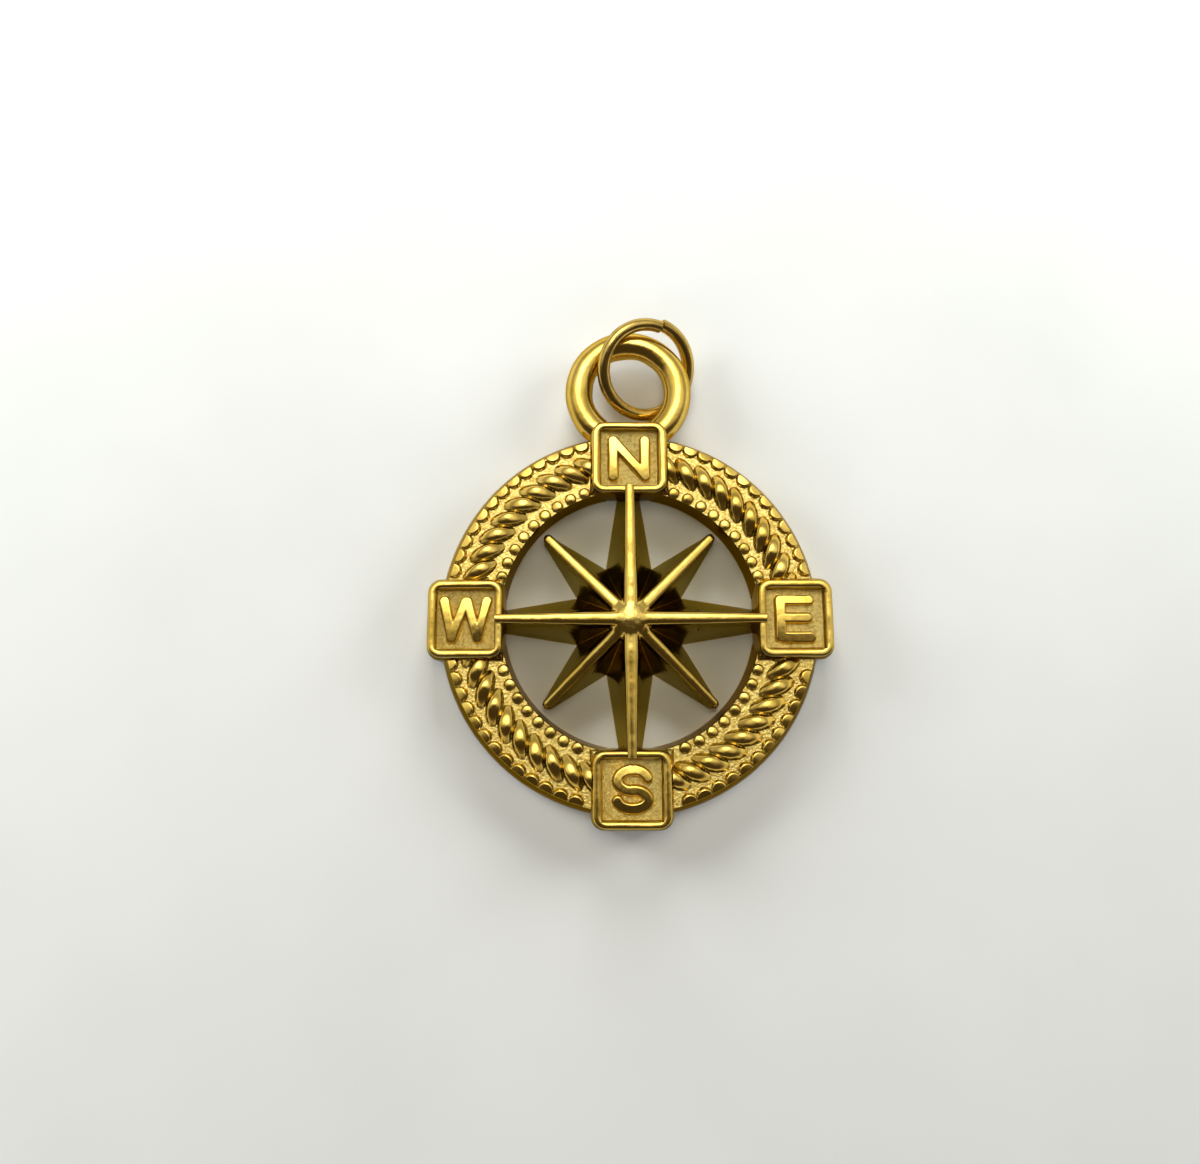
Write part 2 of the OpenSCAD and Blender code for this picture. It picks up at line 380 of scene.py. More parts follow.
@dataclass(frozen=True)
class Finish:
    """One procedural material, mixed by its own paint method."""

    name: str

    def material(self) -> bpy.types.Material:
        """Builds the finish.

        Returns:
            The material.
        """
        made = bpy.data.materials.new(self.name)
        made.use_nodes = True
        desk = Desk(made.node_tree)
        skin = desk.node("BsdfPrincipled", {}, self.paint(desk))
        desk.node("OutputMaterial", {}, {"Surface": skin.outputs[0]})
        return made

    def paint(self, desk: Desk) -> dict:
        """Returns what feeds the surface shader, by socket; each finish mixes its own."""
        raise NotImplementedError


@dataclass(frozen=True)
class Gold(Finish):
    """Gold plating, the same metal in each of its finishes."""

    edge: tuple = (0.60, 0.47, 0.27, 1.0)

    def plate(self, desk: Desk, colour: Link, rough: Value, relief: Value, depth: float) -> dict:
        """Returns what feeds the shader for bare metal with marks of a depth in millimetres."""
        bump = desk.node("Bump", {}, {"Strength": 1.0, "Distance": depth * MM, "Height": relief})
        return {"Base Color": colour, "Metallic": 1.0, "Roughness": rough, "Normal": bump.outputs[0],
                "Specular Tint": self.edge}


@dataclass(frozen=True)
class CastGold(Gold):
    """Plating on the casting: polished where it stands up, blasted matte on the ground, with painted shade
    mixed in.
    """

    name: str = "cast_gold"
    polished: tuple = (0.80, 0.55, 0.12, 1.0)
    worn: tuple = (0.68, 0.44, 0.07, 1.0)
    ground: tuple = (1.0, 0.80, 0.27, 1.0)
    ground_dark: tuple = (0.66, 0.44, 0.09, 1.0)
    # Painted shade colours: olive for shaded steep faces and dim reflections in them, dark brown for the
    # deepest painted shade.
    shade_olive: tuple = (0.35, 0.295, 0.11, 1.0)
    deep_shade_brown: tuple = (0.20, 0.115, 0.03, 1.0)
    polished_roughness: float = 0.15
    ground_roughness: float = 0.41
    grain_waver: float = 0.14
    brush_waver: float = 0.10
    wear_waver: float = 0.05
    wear_size: float = 2.6
    lump_size: float = 0.9
    mottle_size: float = 0.45
    grain_size: float = 0.17
    brush_size: float = 0.16
    brush_stretch: float = 0.22
    brush_turn: float = 0.6
    score_size: float = 0.13
    score_turn: float = 45.0
    mottle_share: float = 0.4
    plain_share: float = 0.55
    score_share: float = 0.55
    grain_share: float = 0.8
    grain_relief: float = 1.4
    score_relief: float = 1.1
    lump_relief: float = 0.9
    brush_relief: float = 0.14
    depth: float = 0.03

    def paint(self, desk: Desk) -> dict:
        """Mixes the finish from the polish, score and painted shade values stored on the meshes.

        Args:
            desk: Desk that adds the nodes.

        Returns:
            What feeds the shader, by socket.
        """
        polish, score, patina = (desk.attribute(name) for name in ("polish", "score", "patina"))
        wear = desk.noise(self.wear_size, 3.0).ramp(0.35, 0.75)
        grain = desk.noise(self.grain_size, 3.0)
        lumps = desk.noise(self.lump_size, 1.5)
        mottle = desk.noise(self.mottle_size, 4.0).ramp(0.35, 0.7)
        brushed = desk.noise(self.brush_size, 2.0, desk.turn(self.brush_turn, self.brush_stretch))
        lines = desk.node(
            "TexWave",
            {"wave_type": "BANDS", "bands_direction": "X"},
            {"Vector": desk.turn(math.radians(self.score_turn)), "Distortion": 3.0,
             "Scale": BANDS_SCALE / (self.score_size * MM), "Detail": 2.0, "Detail Scale": 1.4},
        )
        scored = Value(desk, lines.outputs["Fac"])
        marked = (
            mottle * self.mottle_share
            + (1.0 - score) * self.plain_share
            + score * scored.ramp(0.5, 0.95) * self.score_share
            + (grain.ramp(0.4, 0.62) - 0.5) * self.grain_share
        )
        matte_colour = desk.blend(marked, self.ground, self.ground_dark)
        plated = desk.blend(polish, matte_colour, desk.blend(wear, self.polished, self.worn))
        # Painted shade: a stored value up to 1 darkens towards the olive shade colour, and from 1 to 2 on
        # towards dark brown.
        lightly_shaded = desk.blend(patina.work("MINIMUM", patina, 1.0), plated, self.shade_olive)
        colour = desk.blend((patina - 1.0).ramp(0.0, 1.0), lightly_shaded, self.deep_shade_brown)
        matte = 1.0 - polish
        rough = (
            matte * (self.ground_roughness + self.grain_waver * (grain - 0.5))
            + polish * (self.polished_roughness + self.brush_waver * (brushed - 0.4) + self.wear_waver * wear)
        )
        relief = (
            matte * (grain * self.grain_relief + score * scored * self.score_relief)
            + polish * (lumps * self.lump_relief + brushed * self.brush_relief)
        )
        return self.plate(desk, colour, rough, relief, self.depth)


@dataclass(frozen=True)
class WireGold(Gold):
    """Plating on the drawn wire of the jump ring, with fine marks along the wire."""

    name: str = "wire_gold"
    bright: tuple = (0.68, 0.465, 0.115, 1.0)
    worn: tuple = (0.50, 0.35, 0.10, 1.0)
    roughness: float = 0.16
    mark_waver: float = 0.16
    wear_waver: float = 0.06
    mark_scale: float = 9.0
    mark_stretch: float = 0.12
    wear_size: float = 1.4
    dent_size: float = 0.7
    mark_relief: float = 0.35
    dent_relief: float = 0.55
    depth: float = 0.025

    def paint(self, desk: Desk) -> dict:
        """Mixes the finish from the places along and around the wire stored on the mesh.

        Args:
            desk: Desk that adds the nodes.

        Returns:
            What feeds the shader, by socket.
        """
        fed = {0: desk.attribute("along") * self.mark_stretch, 1: desk.attribute("around")}
        lane = desk.node("CombineXYZ", {}, fed).outputs[0]
        fed = {"Vector": lane, "Scale": self.mark_scale, "Detail": 3.0}
        marks = Value(desk, desk.node("TexNoise", {}, fed).outputs["Fac"])
        wear = desk.noise(self.wear_size, 3.0).ramp(0.4, 0.7)
        dents = desk.noise(self.dent_size, 1.0)
        rough = self.roughness + self.mark_waver * (marks - 0.45) + self.wear_waver * wear
        relief = marks * self.mark_relief + dents * self.dent_relief
        return self.plate(desk, desk.blend(wear, self.bright, self.worn), rough, relief, self.depth)


@dataclass(frozen=True)
class TableWhite(Finish):
    """Satin white table top, very slightly clouded."""

    name: str = "table_white"
    pale: tuple = (0.86, 0.87, 0.86, 1.0)
    cloud: tuple = (0.80, 0.81, 0.80, 1.0)
    cloud_size: float = 30.0
    speck_size: float = 0.5
    roughness: float = 0.42
    speck_waver: float = 0.1
    shine: float = 0.3

    def paint(self, desk: Desk) -> dict:
        """Mixes the finish.

        Args:
            desk: Desk that adds the nodes.

        Returns:
            What feeds the shader, by socket.
        """
        haze = desk.noise(self.cloud_size, 3.0).ramp(0.3, 0.8)
        speck = desk.noise(self.speck_size, 2.0)
        return {"Base Color": desk.blend(haze, self.pale, self.cloud),
                "Roughness": self.roughness + self.speck_waver * speck, "Specular IOR Level": self.shine}


class Assembly:
    """What the sub-assemblies share: each is built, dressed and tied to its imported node."""

    node: ClassVar[str] = CASTING

    def build(self) -> Piece:
        """Returns the finished piece; each sub-assembly shapes its own."""
        raise NotImplementedError

    def dress(self, piece: Piece, finish: bpy.types.Material) -> None:
        """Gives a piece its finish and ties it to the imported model.

        Args:
            piece: Finished piece.
            finish: Its material.
        """
        piece.data.materials.clear()
        piece.data.materials.append(finish)
        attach(piece, BODY)
        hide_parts(self.node)
        logging.info("%s: %d faces", piece.name, len(piece.data.polygons))


@dataclass(frozen=True)
class RingBand:
    """Sizes of the plain ring band, in millimetres."""

    opening: float = 9.7
    bottom_opening: float = 9.5
    top: float = 13.85
    widest: float = 14.28
    height: float = 2.5
    wide_height: float = 1.2
    chamfer: float = 0.28
    low_wall: float = 0.3
    bulge: float = 0.05
    lip: float = 0.03
    draft: float = 0.02
    seam: float = 0.04
    inner_foot: float = 0.05

    @property
    def wall_run(self) -> float:
        """Inward run of the outer wall per millimetre of height."""
        return (self.widest - self.top) / (self.height - self.wide_height)


@dataclass
class Row:
    """A row of cast features on the band, each with a slightly tilted, crowned and polished top."""

    start: float
    count: int
    circle: float
    pitch: float
    height: float
    crown: float
    crease: float
    lean: ClassVar[float] = 0.09

    def turn(self, i: int) -> float:
        """Bearing of one feature."""
        return self.start + i * self.pitch

    def feature(self, out: Points, way: Points, turn: float) -> Points:
        """Heights of one feature at distances outwards and clockwise; each row has its own."""
        raise NotImplementedError

    def heights(self, r: Points, t: Points) -> Points:
        """Heights of the row above the ground.

        Args:
            r: Distances from the centre.
            t: Bearings in degrees.

        Returns:
            The heights.
        """
        top = np.zeros_like(r)
        for turn in map(self.turn, range(self.count)):
            way = np.radians(t - turn) * (0.5 * (r + self.circle))
            top = np.maximum(top, self.feature(r - self.circle, way, turn))
        return top

    def capped(self, full: Points, x: Points, y: Points, turn: float, fall: float = 0.0) -> Points:
        """Flattens a feature with its polished top.

        Args:
            full: Heights of the feature with a round top.
            x: First distance from its middle.
            y: Second distance from it.
            turn: Its bearing, which chooses its tilt.
            fall: Fall of the top along x per millimetre.

        Returns:
            The feature's heights.
        """
        lean = np.random.default_rng(int(turn * 100)).uniform(-self.lean, self.lean, 2)
        flat = self.height + lean[0] * x + lean[1] * y - (x**2 + y**2) / (2.0 * self.crown)
        return soft_min(full, np.maximum(flat - fall * x, 0.0), self.crease)


@dataclass
class BeadRow(Row):
    """The small round beads along the opening."""

    circle: float = 10.08
    pitch: float = 6.5
    height: float = 0.26
    crown: float = 1.3
    crease: float = 0.03
    radius: float = 0.43
    swell: float = 0.86
    fall: float = 0.0

    def feature(self, out: Points, way: Points, turn: float) -> Points:
        """Heights of one bead at distances outwards and clockwise."""
        full = dome(np.hypot(out, way) / self.radius) * self.radius * self.swell
        return self.capped(full, out, way, turn, self.fall)


@dataclass
class ScallopRow(BeadRow):
    """The broad beads along the rim, which fall outwards and break the band's edge."""

    circle: float = 13.66
    pitch: float = 4.92
    height: float = 0.21
    crown: float = 5.0
    radius: float = 0.575
    swell: float = 0.64
    fall: float = 0.20


@dataclass
class RopeRow(Row):
    """The rope's slanted strands between two letter plates; its start counts whole pitches."""

    count: int = 11
    circle: float = 11.82
    pitch: float = 7.2
    height: float = 0.69
    crown: float = 1.9
    crease: float = 0.15
    lay: float = 42.0
    length: float = 2.86
    width: float = 1.22
    full_height: float = 0.80
    droop: float = 0.40
    flatness: float = 0.72

    def turn(self, i: int) -> float:
        """Bearing of one strand."""
        return (self.start + i) * self.pitch

    def feature(self, out: Points, way: Points, turn: float) -> Points:
        """Heights of one strand.

        Args:
            out: Distances outwards from its middle.
            way: Distances clockwise from it.
            turn: Its bearing.

        Returns:
            The heights.
        """
        across, along = turned(out, way, self.lay)
        off = np.hypot(along / (self.length / 2.0), across / (self.width / 2.0))
        full = np.where(off < 1.0, self.full_height * (1.0 - self.droop * along**2) * dome(off), 0.0)
        return self.capped(full, along, across * self.flatness, turn)


@dataclass
class BorderQuarter(Assembly):
    """One quarter of the band with its cast beads, rope strands and rim scallops."""

    bearing: float
    beads: BeadRow
    rope: RopeRow
    scallops: ScallopRow
    band: RingBand = RingBand()
    half_span: float = 34.6
    plate_edge: float = 2.97
    plate_shadow: tuple = (0.22, 0.04)
    ground_ripple: float = 0.006
    ripple_size: float = 1.2
    polish_edge: tuple = (0.015, 0.09)
    steep: tuple = (0.9, 2.0)
    # Painted shade: on steep slopes, on the outer, low and inner walls and along the opening's lip; the
    # scallops' inner edges and the inner wall's foot stay lighter as painted highlights.
    crease_shade: float = 1.25
    scallop_lit_share: float = 0.7
    outer_wall_shade: float = 0.35
    low_wall_shade: float = 0.5
    inner_wall_shade: float = 1.75
    lit_foot: float = 0.35
    # Painted shade on the south side of the outer walls.
    south_shade: float = 1.55
    south_side_edges: tuple = (0.15, -0.55)
    step: float = 0.05
    edge_passes: int = 4
    back_rows: int = 4
    wall_rows: int = 8

    @property
    def middle(self) -> float:
        """Bearing of the quarter's middle."""
        return self.bearing + EIGHTH

    def relief(self, r: Points, t: Points) -> Points:
        """Heights of all the cast relief on the band.

        Args:
            r: Distances from the centre.
            t: Bearings in degrees.

        Returns:
            Heights above the ground.
        """
        beside = np.abs(r * np.sin(np.radians((t + EIGHTH) % QUARTER - EIGHTH)))
        clear = smooth_step(*(self.plate_edge - shadow for shadow in self.plate_shadow), beside)
        return clear * np.max([row.heights(r, t) for row in (self.beads, self.rope, self.scallops)], axis=0)

    def top(self, t: Points) -> tuple[Points, ...]:
        """Rows of the band's upper face, from the opening to the rim.

        Args:
            t: Bearings in degrees, one a column.

        Returns:
            Distance, height, polish and painted shade of each row and column.
        """
        band = self.band
        edge = np.full_like(t, band.top)
        for _ in range(self.edge_passes):
            edge = band.top - band.wall_run * self.relief(edge, t)
        rows = int((band.top - band.opening) / self.step)
        start = band.opening + band.lip
        r = start + (edge - start) * np.linspace(0.0, 1.0, rows + 1)[:, None]
        raised = self.relief(r, np.broadcast_to(t, r.shape))
        x, y = r * np.cos(np.radians(t)), r * np.sin(np.radians(t))
        z = band.height + raised + self.ground_ripple * ripple(x, y, self.ripple_size, 3)
        slope = np.hypot(np.gradient(z, axis=0), np.gradient(z, axis=1)) / self.step
        # Painted shade on steep slopes, lifted at the scallops' inner edges so they stay bright as a painted
        # highlight.
        inward = self.scallops.circle - r
        scallop_lit = self.scallop_lit_share * smooth_step(0.1, 0.5, inward) * smooth_step(1.0, 0.7, inward)
        patina = self.crease_shade * smooth_step(*self.steep, slope) * (1.0 - scallop_lit)
        return r, z, smooth_step(*self.polish_edge, raised), patina

    def section(self, t: Points) -> list[Points]:
        """Rows of the band's closed cross-section at each bearing.

        Args:
            t: Bearings in degrees, one a column.

        Returns:
            Distance, height, polish and patina of each row and column.
        """
        band = self.band
        top = self.top(t)
        down = np.linspace(0.0, 1.0, self.wall_rows + 1)[1:, None]
        back = np.linspace(0.0, 1.0, self.back_rows + 1)[1:, None]
        up = np.linspace(0.0, 1.0, self.wall_rows + 1)[:, None]
        r_wall = band.widest + (top[0][-1] - band.widest) * (1.0 - down) + band.bulge * np.sin(math.pi * down)
        z_wall = top[1][-1] + (band.wide_height - top[1][-1]) * down
        foot = band.widest - band.chamfer
        r_low = np.array([[band.widest], [band.widest - band.draft], [foot]])
        z_low = np.array([[band.chamfer + band.low_wall], [band.chamfer], [0.0]])
        r_back = foot + (band.bottom_opening + band.seam - foot) * back
        r_in = band.bottom_opening + (band.opening - band.bottom_opening) * up
        z_in = band.inner_foot + (band.height - band.seam - band.inner_foot) * up
        # Painted shade, darker on the south side of the outer wall.
        south_shaded = self.south_shade * smooth_step(*self.south_side_edges, np.cos(np.radians(t)))
        # Painted shade for each part of the section; the inner wall is lighter below its foot height, a
        # painted light line.
        parts = [
            top,
            (r_wall, z_wall, 1.0, self.outer_wall_shade + south_shaded),
            (r_low, z_low, 1.0, self.low_wall_shade + south_shaded),
            (r_back, 0.0, 0.5, 0.3),
            (r_in, z_in, 1.0, np.where(z_in < self.lit_foot, 0.2, self.inner_wall_shade)),
            (top[0][:1], top[1][:1], top[2][:1], 0.6),
        ]
        spread = [[np.broadcast_to(value, (len(part[0]), len(t))) for value in part] for part in parts]
        return [np.vstack(values) for values in zip(*spread)]

    def build(self) -> Piece:
        """Builds the quarter.

        Returns:
            The finished piece.
        """
        columns = int(math.radians(2.0 * self.half_span) * self.rope.circle / self.step)
        t = np.linspace(self.middle - self.half_span, self.middle + self.half_span, columns + 1)
        section = self.section(t)
        rows = len(section[0]) - 1
        piece, u, v = Bench.sheet(f"border_{int(self.bearing)}", columns, rows)
        column, row = np.round(u * columns).astype(int), np.round(v * rows).astype(int)
        r, z, polish, patina = (values[row, column] for values in section)
        turn = np.radians(t[column])
        Bench.shape(piece, r * np.sin(turn), r * np.cos(turn), z)
        Bench.mark(piece, polish=polish, patina=patina, score=0.0)
        Bench.close(piece)
        return piece


@dataclass(frozen=True)
class Stroke:
    """One stroke of a letter: a line, or an arc of an ellipse about its first point."""

    x0: float
    y0: float
    x1: float
    y1: float
    half: float = 0.39
    arc: tuple = ()
    arc_points: ClassVar[int] = 40

    def distance(self, x: Points, y: Points) -> Points:
        """Distance from the stroke's middle line as a share of its half width.

        Args:
            x: First coordinate.
            y: Second coordinate.

        Returns:
            The distances, 1 at the stroke's edge.
        """
        if self.arc:
            radius_x, radius_y, start, end = self.arc
            return np.min([
                np.hypot(x - self.x0 - radius_x * math.cos(a), y - self.y0 - radius_y * math.sin(a))
                for a in np.radians(np.linspace(start, end, self.arc_points))
            ], axis=0) / self.half
        dx, dy = self.x1 - self.x0, self.y1 - self.y0
        share = np.clip(((x - self.x0) * dx + (y - self.y0) * dy) / (dx * dx + dy * dy), 0.0, 1.0)
        return np.hypot(x - self.x0 - dx * share, y - self.y0 - dy * share) / self.half


LETTERS: dict[Compass, list[Stroke]] = {
    Compass.NORTH: [
        Stroke(-1.21, -1.42, -1.21, 1.36), Stroke(1.2, -1.42, 1.2, 1.36),
        Stroke(-1.16, 1.3, 1.15, -1.34, 0.4),
    ],
    Compass.EAST: [
        Stroke(-1.06, -1.36, -1.06, 1.32, 0.42), Stroke(-1.06, 1.35, 1.08, 1.35, 0.36),
        Stroke(-1.06, 0.03, 0.9, 0.03, 0.39), Stroke(-1.0, -1.39, 1.12, -1.39, 0.4),
    ],
    Compass.SOUTH: [
        Stroke(0.05, 0.64, 0, 0, 0.38, (1.08, 0.72, 12.0, 270.0)),
        Stroke(0.03, -0.68, 0, 0, 0.39, (1.1, 0.65, -172.0, 90.0)),
    ],
    Compass.WEST: [
        Stroke(-1.58, 1.34, -0.98, -1.36, 0.38), Stroke(-0.04, 1.28, -0.98, -1.36, 0.38),
        Stroke(0.12, 1.28, 0.89, -1.36, 0.38), Stroke(1.55, 1.34, 0.89, -1.36, 0.36),
    ],
}


@dataclass
class LetterPlate(Assembly):
    """One square plate with its raised round frame, recess and puffy letter."""

    place: Compass
    distance: float = 12.2
    half_width: float = 2.97
    half_depth: float = 2.81
    corner: float = 0.92
    inner_corner: float = 0.06
    flare: float = 0.03
    edge_round: float = 0.3
    block_top: float = 2.9
    block_crease: float = 0.05
    pocket_x: float = 2.15
    pocket_y: float = 2.12
    pocket_slope: float = 0.08
    pocket_top: float = 2.94
    pocket_floor: float = 2.6
    crest: tuple = (2.56, 2.48)
    crest_corner: float = 0.76
    crest_width: float = 0.46
    crest_height: float = 3.33
    crest_power: float = 2.6
    crest_wander: float = 0.008
    crest_ripple: float = 0.006
    letter_height: float = 0.4
    letter_excess: float = 0.12
    letter_power: float = 3.2
    letter_swell: float = 1.07
    letter_crown: float = 0.03
    letter_ripple: float = 0.012
    letter_crease: float = 0.09
    letter_foot: tuple = (0.02, 0.1)
    wall_crease: float = 0.04
    wall_polish: tuple = (0.1, 0.5)
    # Painted shade: on the recess floor near its walls, deep on the recess walls, and on the frame's outer
    # slopes.
    pocket_corner_shade: float = 0.06
    corner_reach: float = 0.42
    recess_deep_shade: float = 1.3
    deep_shade_start: tuple = (0.0, 0.3)
    deep_shade_end: tuple = (0.9, 0.6)
    outer_slope_shade: float = 0.55
    slope_edges: tuple = (0.16, 0.42)
    # Painted shade on the outer slopes along the plate's south edge.
    south_shade: float = 1.55
    shaded_wall_edges: tuple = (0.1, 0.36)
    south_shade_edges: tuple = (2.1, 2.6)
    step: float = 0.047
    block: tuple = ((2.2, 1.004), (1.2, 1.002), (0.3, 1.0), (0.1, 0.985), (0.0, 0.95))

    def wave(self, x: Points, y: Points, size: float, choice: int) -> Points:
        """Unevenness of the plate's own, by wave size and choice."""
        return ripple(x, y, size, self.place.value + choice)

    def outline(self, u: Points, v: Points) -> tuple[Points, Points]:
        """Places a square grid on the plate, with its two outward corners rounded.

        Args:
            u: Place across the plate, -1 to 1.
            v: Place outwards, -1 to 1.

        Returns:
            Places across and outwards.
        """
        x = u * self.half_width * (1.0 + self.flare * smooth_step(0.2, -1.0, v))
        y = v * self.half_depth
        cx, cy = self.half_width - self.corner, self.half_depth - self.corner
        p, q = np.abs(x) - cx, y - cy
        inside = (p > 0) & (q > 0)
        shrink = np.where(inside, np.maximum(p, q) / np.maximum(np.hypot(p, q), TINY), 1.0)
        return np.where(inside, np.sign(x) * (cx + p * shrink), x), np.where(inside, cy + q * shrink, y)

    def letter(self, x: Points, y: Points) -> Points:
        """Heights of the puffy letter above the recess floor.

        Args:
            x: Place to the right on the upright letter.
            y: Place up the upright letter.

        Returns:
            The heights.
        """
        near = np.min([stroke.distance(x, y) for stroke in LETTERS[self.place]], axis=0)
        top = dome(near / self.letter_swell, self.letter_power) * (self.letter_height + self.letter_excess)
        flat = self.letter_height + self.letter_crown * (1.0 - (0.5 * x**2 + y**2))
        flat = flat + self.letter_ripple * self.wave(x, y, 2.6, 3)
        return soft_min(top, np.maximum(flat, 0.0), self.letter_crease)

    def frame(self, x: Points, y: Points) -> tuple[Points, Points]:
        """Raised round frame and the block's rounded edge.

        Args:
            x: Place across the plate.
            y: Place outwards.

        Returns:
            Distances from the frame's crest, negative inside it, and heights.
        """
        wander = self.crest_wander * self.wave(x, y, 3.1, 7)
        crest = wander - inside_square(x, y, self.crest, self.crest_corner)
        rise = self.crest_height * (1.0 + self.crest_ripple * self.wave(x, y, 2.4, 11))
        rounded = dome(np.abs(crest) / self.crest_width, self.crest_power)
        ridge = self.pocket_floor + (rise - self.pocket_floor) * rounded
        outer = soft_max(ridge, np.full_like(ridge, self.block_top), self.block_crease)
        top = np.where(crest < 0.0, np.maximum(ridge, self.pocket_top), outer)
        corner = np.where(y > 0, self.corner, self.inner_corner)
        inwards = inside_square(x, y, (self.half_width, self.half_depth), corner)
        edge = np.clip(inwards / self.edge_round, 0.0, 1.0)
        return crest, top - self.edge_round * (1.0 - dome(1.0 - edge))

    def heights(self, x: Points, y: Points, east: Points, north: Points) -> tuple[Points, ...]:
        """Heights and finish values of the plate's face.

        Args:
            x: Place across the plate.
            y: Place outwards.
            east: Place to the right on the upright letter.
            north: Place up the upright letter.

        Returns:
            Heights above the back, polish, score and painted shade.
        """
        crest, top = self.frame(x, y)
        letter = self.letter(east, north)
        floor = self.pocket_floor + letter
        out_x, out_y = np.abs(x) - self.pocket_x, np.abs(y) - self.pocket_y
        wall = np.clip(np.maximum(out_x, out_y) / self.pocket_slope, 0.0, 1.0)
        z = soft_min(floor + (self.crest_height - floor) * wall, top, self.wall_crease)
        z = np.where(wall <= 0.0, floor, z)
        plain = 1.0 - smooth_step(*self.letter_foot, letter)
        polish = np.maximum((1.0 - plain) * (1.0 - wall), smooth_step(*self.wall_polish, wall))
        # Painted shade near the recess walls, deep on the walls themselves, and on the outer slopes.
        close = smooth_step(self.corner_reach, 0.0, np.minimum(-out_x, -out_y))
        patina = np.where(wall <= 0.0, self.pocket_corner_shade * close * plain, 0.0)
        deep_shade = self.recess_deep_shade * smooth_step(*self.deep_shade_start, wall) * smooth_step(*self.deep_shade_end, wall)
        slope = self.outer_slope_shade * smooth_step(*self.slope_edges, np.abs(crest))
        slope = np.where(wall >= 1.0, slope, 0.0)
        # Painted shade on the outer slopes along the plate's south edge.
        south_shaded = self.south_shade * smooth_step(*self.shaded_wall_edges, crest) * smooth_step(*self.south_shade_edges, -north)
        return z, polish, (1.0 - wall) * plain, np.maximum(np.maximum(patina, deep_shade), slope) + south_shaded

    def build(self) -> Piece:
        """Builds the plate.

        Returns:
            The finished piece.
        """
        columns, rows = int(2.0 * self.half_width / self.step), int(2.0 * self.half_depth / self.step)
        piece, u, v = Bench.sheet(f"plate_{self.place.name.lower()}", columns, rows)
        x, y = self.outline(2.0 * u - 1.0, 2.0 * v - 1.0)
        east, north = turned(x, y, self.place.value)
        middle = turned(0.0, self.distance, self.place.value)
        z, polish, score, patina = self.heights(x, y, east, north)
        Bench.shape(piece, east + middle[0], north + middle[1], z)
        Bench.mark(piece, polish=polish, score=score, patina=patina)
        Bench.select(piece, (u == 0) | (u == 1) | (v == 0) | (v == 1))
        with Bench.editing(piece, "EDGE"):
            for height, swell in self.block:
                bpy.ops.mesh.extrude_edges_move()
                about = (middle[0] * MM, middle[1] * MM, height * MM)
                bpy.ops.transform.resize(value=(swell, swell, 0.0), center_override=about)
            bpy.ops.mesh.edge_face_add()
        Bench.close(piece, fill=False)
        return piece


